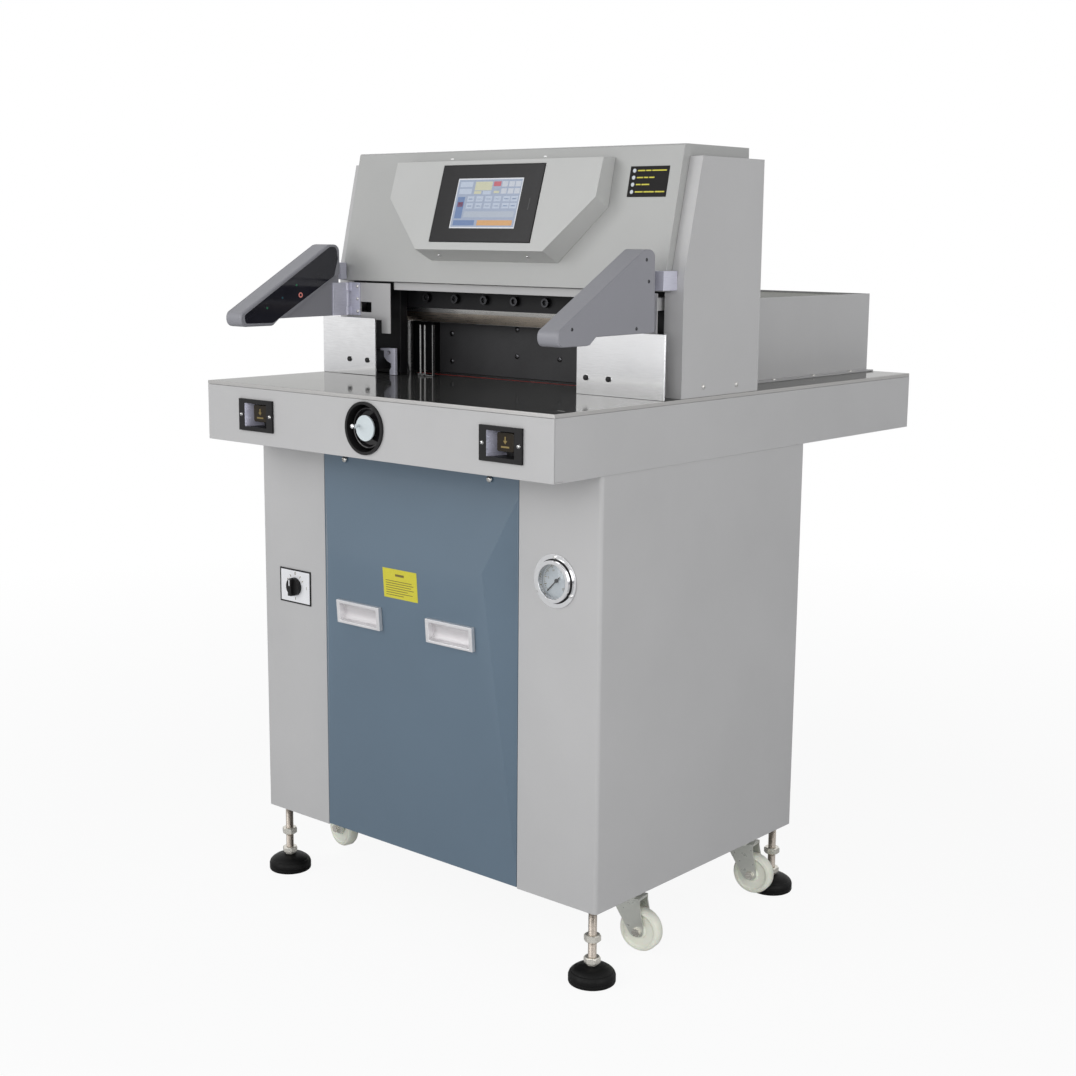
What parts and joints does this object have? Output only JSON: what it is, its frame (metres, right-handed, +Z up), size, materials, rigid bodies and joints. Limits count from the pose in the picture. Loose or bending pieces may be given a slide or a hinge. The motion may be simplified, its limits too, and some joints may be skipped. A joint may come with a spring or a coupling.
{
  "type": "programmable paper cutter",
  "caption": "Free-standing electric paper cutter: touch-screen hood, steel table, diagonal knife, clamp, back gauge, folding light-curtain arms, lift-off door, feet and castors.",
  "frame": {"origin": "on the floor under the middle of the machine", "axes": "+Z up, +X to the operator's right when facing the machine, +Y from the operator to the back"},
  "size_m": [0.796, 1.0435, 1.3],
  "materials": {
    "warm_grey_paint": "fine texture powder coat",
    "light_grey_paint": "satin powder coat",
    "blue_grey_paint": "satin powder coat",
    "frame_paint": "satin black paint on castings",
    "primer_steel": "plain primer",
    "polished_cast_iron": "ground and polished",
    "polished_steel": "polished stainless sheet",
    "tool_steel": "ground tool steel",
    "zinc_steel": "zinc plated",
    "satin_chrome": "satin chrome",
    "aluminium_plain": "machined",
    "black_plastic": "moulded",
    "dark_button": "gloss",
    "screen_black": "gloss front",
    "red_stick": "smooth",
    "nylon": "moulded nylon",
    "white_plate": "printed plate",
    "smoked_plastic": "smoked sheet",
    "hydraulic_paint": "gloss paint",
    "foot_parts": "black pad, zinc stem"
  },
  "bodies": {
    "machine": {"base_plate": "primer_steel", "cabinet_frame": "primer_steel", "cabinet_side_left": "warm_grey_paint", "cabinet_side_right": "warm_grey_paint", "rear_panel": "warm_grey_paint", "front_apron": "warm_grey_paint", "table_skirts": "warm_grey_paint", "table_top": "polished_cast_iron", "cutting_stick": "red_stick", "side_frames": "frame_paint", "crossbeam": "frame_paint", "hood": "light_grey_paint", "console_housing": "light_grey_paint", "touch_screen": "screen_black", "side_casing_left": "warm_grey_paint", "side_casing_right": "warm_grey_paint", "back_cover": "warm_grey_paint", "throat_covers": "warm_grey_paint", "guard_plates": "polished_steel", "rear_guard": "warm_grey_paint", "apron_fittings": "black_plastic", "switch_plate": "white_plate", "pressure_gauge": "satin_chrome", "hydraulic_unit": "hydraulic_paint", "hydraulic_cylinders": "hydraulic_paint", "hydraulic_pipes": "zinc_steel", "electrical_box": "light_grey_paint", "gauge_drive": "black_plastic", "castor_plates": "zinc_steel", "arm_hinge_leaves": "aluminium_plain"},
    "door": {"front_door": "blue_grey_paint", "door_pulls": "satin_chrome"},
    "knife": {"knife_carrier": "frame_paint", "knife_blade": "tool_steel", "knife_bolts": "zinc_steel", "knife_rod": "satin_chrome"},
    "clamp": {"clamp_beam": "polished_cast_iron", "clamp_rods": "tool_steel"},
    "gauge": {"back_gauge": "frame_paint"},
    "gauge_screw": {"lead_screw": "tool_steel", "handwheel": "satin_chrome"},
    "curtain_arm_left": {"arm_left": "warm_grey_paint"},
    "curtain_arm_right": {"arm_right": "warm_grey_paint"},
    "lid": {"rear_lid": "smoked_plastic"},
    "button_left": {"cut_button_left": "dark_button"},
    "button_right": {"cut_button_right": "dark_button"},
    "mains_knob": {"switch_knob": "black_plastic"},
    "needle": {"gauge_needle": "black_plastic"},
    "foot_front_left_body": {"foot_front_left": "foot_parts"},
    "castor_front_left": {"castor_fork_front_left": "zinc_steel"},
    "wheel_front_left": {"castor_wheel_front_left": "nylon"},
    "foot_front_right_body": {"foot_front_right": "foot_parts"},
    "castor_front_right": {"castor_fork_front_right": "zinc_steel"},
    "wheel_front_right": {"castor_wheel_front_right": "nylon"},
    "foot_rear_left_body": {"foot_rear_left": "foot_parts"},
    "castor_rear_left": {"castor_fork_rear_left": "zinc_steel"},
    "wheel_rear_left": {"castor_wheel_rear_left": "nylon"},
    "foot_rear_right_body": {"foot_rear_right": "foot_parts"},
    "castor_rear_right": {"castor_fork_rear_right": "zinc_steel"},
    "wheel_rear_right": {"castor_wheel_rear_right": "nylon"}
  },
  "joints": [
    {"name": "door_lift_off", "type": "slide", "parent": "machine", "child": "door", "axis": [0, -1, 0], "range_m": [0, 0.12]},
    {"name": "knife_stroke", "type": "slide", "parent": "machine", "child": "knife", "axis": [0.3088, 0, -0.9511], "range_m": [0, 0.0971]},
    {"name": "clamp_stroke", "type": "slide", "parent": "machine", "child": "clamp", "axis": [0, 0, -1], "range_m": [0, 0.091]},
    {"name": "gauge_travel", "type": "slide", "parent": "machine", "child": "gauge", "axis": [0, 1, 0], "range_m": [0, 0.47]},
    {"name": "screw_turn", "type": "hinge", "parent": "machine", "child": "gauge_screw", "pos_m": [0, -0.2, 0.86], "axis": [0, 1, 0], "range_deg": [-1, 16930]},
    {"name": "arm_left_fold", "type": "hinge", "parent": "machine", "child": "curtain_arm_left", "pos_m": [-0.336, -0.226, 1.044], "axis": [0, 0, 1], "range_deg": [0, 90]},
    {"name": "arm_right_fold", "type": "hinge", "parent": "machine", "child": "curtain_arm_right", "pos_m": [0.336, -0.226, 1.044], "axis": [0, 0, -1], "range_deg": [0, 90]},
    {"name": "lid_lift", "type": "hinge", "parent": "machine", "child": "lid", "pos_m": [0, 0.024, 1.0515], "axis": [1, 0, 0], "range_deg": [0, 80]},
    {"name": "button_left_press", "type": "slide", "parent": "machine", "child": "button_left", "axis": [0, 1, 0], "range_m": [0, 0.004], "stiffness_N_per_m": 600, "springref_m": -0.003},
    {"name": "button_right_press", "type": "slide", "parent": "machine", "child": "button_right", "axis": [0, 1, 0], "range_m": [0, 0.004], "stiffness_N_per_m": 600, "springref_m": -0.003},
    {"name": "mains_switch_turn", "type": "hinge", "parent": "machine", "child": "mains_knob", "pos_m": [-0.301, -0.39, 0.546], "axis": [0, 1, 0], "range_deg": [0, 90]},
    {"name": "gauge_needle_turn", "type": "hinge", "parent": "machine", "child": "needle", "pos_m": [0.298, -0.39, 0.641], "axis": [0, 1, 0], "range_deg": [0, 270], "stiffness_Nm_per_rad": 0.002},
    {"name": "foot_front_left_screw", "type": "slide", "parent": "machine", "child": "foot_front_left_body", "axis": [0, 0, -1], "range_m": [0, 0.03]},
    {"name": "castor_front_left_swivel", "type": "hinge", "parent": "machine", "child": "castor_front_left", "pos_m": [-0.33, -0.2347, 0.1], "axis": [0, 0, 1], "continuous": true},
    {"name": "wheel_front_left_roll", "type": "hinge", "parent": "castor_front_left", "child": "wheel_front_left", "pos_m": [-0.35659, -0.23001, 0.045], "axis": [-0.1736, -0.9848, 0], "continuous": true},
    {"name": "foot_front_right_screw", "type": "slide", "parent": "machine", "child": "foot_front_right_body", "axis": [0, 0, -1], "range_m": [0, 0.03]},
    {"name": "castor_front_right_swivel", "type": "hinge", "parent": "machine", "child": "castor_front_right", "pos_m": [0.33, -0.2347, 0.1], "axis": [0, 0, 1], "continuous": true},
    {"name": "wheel_front_right_roll", "type": "hinge", "parent": "castor_front_right", "child": "wheel_front_right", "pos_m": [0.35659, -0.23001, 0.045], "axis": [-0.1736, 0.9848, 0], "continuous": true},
    {"name": "foot_rear_left_screw", "type": "slide", "parent": "machine", "child": "foot_rear_left_body", "axis": [0, 0, -1], "range_m": [0, 0.03]},
    {"name": "castor_rear_left_swivel", "type": "hinge", "parent": "machine", "child": "castor_rear_left", "pos_m": [-0.33, 0.0943, 0.1], "axis": [0, 0, 1], "range_deg": [0, 250]},
    {"name": "wheel_rear_left_roll", "type": "hinge", "parent": "castor_rear_left", "child": "wheel_rear_left", "pos_m": [-0.35659, 0.09899, 0.045], "axis": [-0.1736, -0.9848, 0], "continuous": true},
    {"name": "foot_rear_right_screw", "type": "slide", "parent": "machine", "child": "foot_rear_right_body", "axis": [0, 0, -1], "range_m": [0, 0.03]},
    {"name": "castor_rear_right_swivel", "type": "hinge", "parent": "machine", "child": "castor_rear_right", "pos_m": [0.33, 0.0943, 0.1], "axis": [0, 0, 1], "range_deg": [-250, 0]},
    {"name": "wheel_rear_right_roll", "type": "hinge", "parent": "castor_rear_right", "child": "wheel_rear_right", "pos_m": [0.35659, 0.09899, 0.045], "axis": [-0.1736, 0.9848, 0], "continuous": true}
  ],
  "couplings": [
    {"joint": "screw_turn", "follows": "gauge_travel", "rad_per_m": 628.32}
  ]
}
